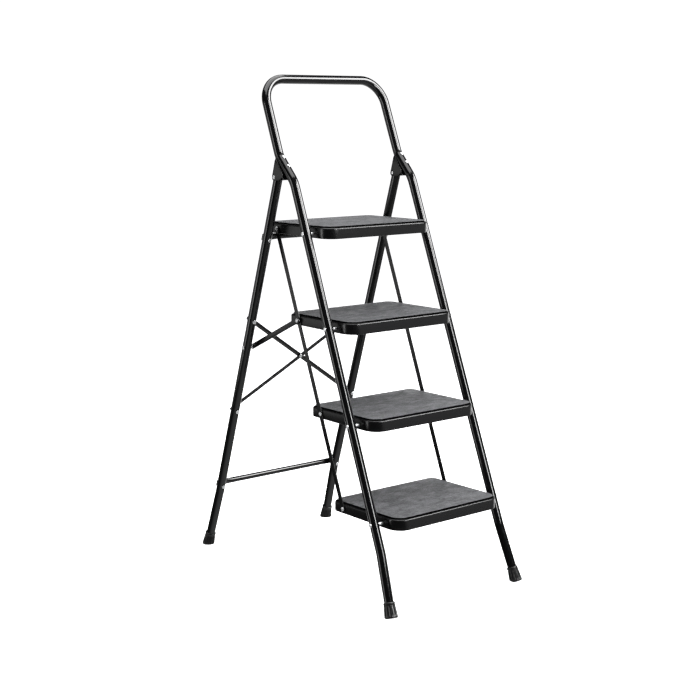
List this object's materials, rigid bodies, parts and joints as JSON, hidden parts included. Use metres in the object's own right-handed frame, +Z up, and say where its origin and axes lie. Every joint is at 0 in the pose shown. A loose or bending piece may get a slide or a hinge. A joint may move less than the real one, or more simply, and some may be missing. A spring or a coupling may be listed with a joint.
{
  "type": "folding step ladder",
  "caption": "Folding step ladder with wide matted treads, a tall U-shaped hand rail, braced back legs, and tie bars and links that lift the treads as it folds.",
  "frame": {"origin": "on the floor, at the centre of the open ladder's footprint", "axes": "+Z up, +Y from the front rails towards the back legs, +X to the right of someone about to climb"},
  "size_m": [0.487, 0.8511, 1.352],
  "materials": {
    "black_enamel": "glossy black powder coat on steel tube and sheet",
    "bright_zinc": "bright zinc plate",
    "black_rubber": "matt moulded rubber",
    "grey_mat": "grained dark grey sheet"
  },
  "bodies": {
    "front_frame": {"front_tube": "black_enamel", "front_foot_left": "black_rubber", "front_foot_right": "black_rubber", "hinge_bracket_left": "black_enamel", "hinge_bracket_right": "black_enamel", "hinge_pin_left": "bright_zinc", "hinge_pin_right": "bright_zinc", "bracket_rivet_left_upper": "bright_zinc", "bracket_rivet_left_lower": "bright_zinc", "bracket_rivet_right_upper": "bright_zinc", "bracket_rivet_right_lower": "bright_zinc", "step_pin_1_left": "bright_zinc", "step_pin_2_left": "bright_zinc", "step_pin_3_left": "bright_zinc", "step_pin_4_left": "bright_zinc", "step_pin_1_right": "bright_zinc", "step_pin_2_right": "bright_zinc", "step_pin_3_right": "bright_zinc", "step_pin_4_right": "bright_zinc"},
    "back_frame": {"back_leg_left": "black_enamel", "back_leg_right": "black_enamel", "back_foot_left": "black_rubber", "back_foot_right": "black_rubber", "link_leg_rivet_left": "bright_zinc", "link_leg_rivet_right": "bright_zinc", "crossbar_rivet_upper_left": "bright_zinc", "crossbar_rivet_upper_right": "bright_zinc", "crossbar_rivet_lower_left": "bright_zinc", "crossbar_rivet_lower_right": "bright_zinc", "brace_rivet_upper_left": "bright_zinc", "brace_rivet_upper_right": "bright_zinc", "brace_rivet_lower_left": "bright_zinc", "brace_rivet_lower_right": "bright_zinc", "upper_crossbar": "black_enamel", "lower_crossbar": "black_enamel", "brace_falling": "black_enamel", "brace_rising": "black_enamel", "brace_centre_rivet": "bright_zinc"},
    "step_1": {"step_tray_1": "black_enamel", "step_mat_1": "grey_mat"},
    "step_2": {"step_tray_2": "black_enamel", "step_mat_2": "grey_mat"},
    "step_3": {"step_tray_3": "black_enamel", "step_mat_3": "grey_mat"},
    "step_4": {"step_tray_4": "black_enamel", "step_mat_4": "grey_mat"},
    "tie_left": {"tie_bar_left": "black_enamel", "tie_rivet_1_left": "bright_zinc", "tie_rivet_2_left": "bright_zinc", "tie_rivet_3_left": "bright_zinc", "tie_rivet_4_left": "bright_zinc"},
    "tie_right": {"tie_bar_right": "black_enamel", "tie_rivet_1_right": "bright_zinc", "tie_rivet_2_right": "bright_zinc", "tie_rivet_3_right": "bright_zinc", "tie_rivet_4_right": "bright_zinc"},
    "link_arm_left": {"link_left": "black_enamel", "link_tread_rivet_left": "bright_zinc"},
    "link_arm_right": {"link_right": "black_enamel", "link_tread_rivet_right": "bright_zinc"}
  },
  "joints": [
    {"name": "back_fold", "type": "hinge", "parent": "front_frame", "child": "back_frame", "pos_m": [0, 0.06814, 1.0829], "axis": [-1, 0, 0], "range_deg": [0, 39.2]},
    {"name": "step_1_pivot", "type": "hinge", "parent": "front_frame", "child": "step_1", "pos_m": [0, -0.32587, 0.2204], "axis": [1, 0, 0], "range_deg": [0, 61.34]},
    {"name": "step_2_pivot", "type": "hinge", "parent": "front_frame", "child": "step_2", "pos_m": [0, -0.23328, 0.4604], "axis": [1, 0, 0], "range_deg": [0, 61.34]},
    {"name": "step_3_pivot", "type": "hinge", "parent": "front_frame", "child": "step_3", "pos_m": [0, -0.14069, 0.7004], "axis": [1, 0, 0], "range_deg": [0, 61.34]},
    {"name": "step_4_pivot", "type": "hinge", "parent": "front_frame", "child": "step_4", "pos_m": [0, -0.04809, 0.9404], "axis": [1, 0, 0], "range_deg": [0, 61.34]},
    {"name": "tie_left_pivot", "type": "hinge", "parent": "step_3", "child": "tie_left", "pos_m": [0, 0.01551, 0.7034], "axis": [-1, 0, 0], "range_deg": [0, 61.34]},
    {"name": "tie_right_pivot", "type": "hinge", "parent": "step_3", "child": "tie_right", "pos_m": [0, 0.01551, 0.7034], "axis": [-1, 0, 0], "range_deg": [0, 61.34]},
    {"name": "link_left_pivot", "type": "hinge", "parent": "back_frame", "child": "link_arm_left", "pos_m": [0, 0.21798, 0.608], "axis": [-1, 0, 0], "range_deg": [0, 37.83]},
    {"name": "link_right_pivot", "type": "hinge", "parent": "back_frame", "child": "link_arm_right", "pos_m": [0, 0.21798, 0.608], "axis": [-1, 0, 0], "range_deg": [0, 37.83]}
  ],
  "couplings": [
    {"joint": "step_1_pivot", "follows": "back_fold", "ratio": 1.5646},
    {"joint": "step_2_pivot", "follows": "back_fold", "ratio": 1.5646},
    {"joint": "step_3_pivot", "follows": "back_fold", "ratio": 1.5646},
    {"joint": "step_4_pivot", "follows": "back_fold", "ratio": 1.5646},
    {"joint": "tie_left_pivot", "follows": "back_fold", "ratio": 1.5646},
    {"joint": "tie_right_pivot", "follows": "back_fold", "ratio": 1.5646},
    {"joint": "link_left_pivot", "follows": "back_fold", "ratio": 0.96493},
    {"joint": "link_right_pivot", "follows": "back_fold", "ratio": 0.96493}
  ]
}
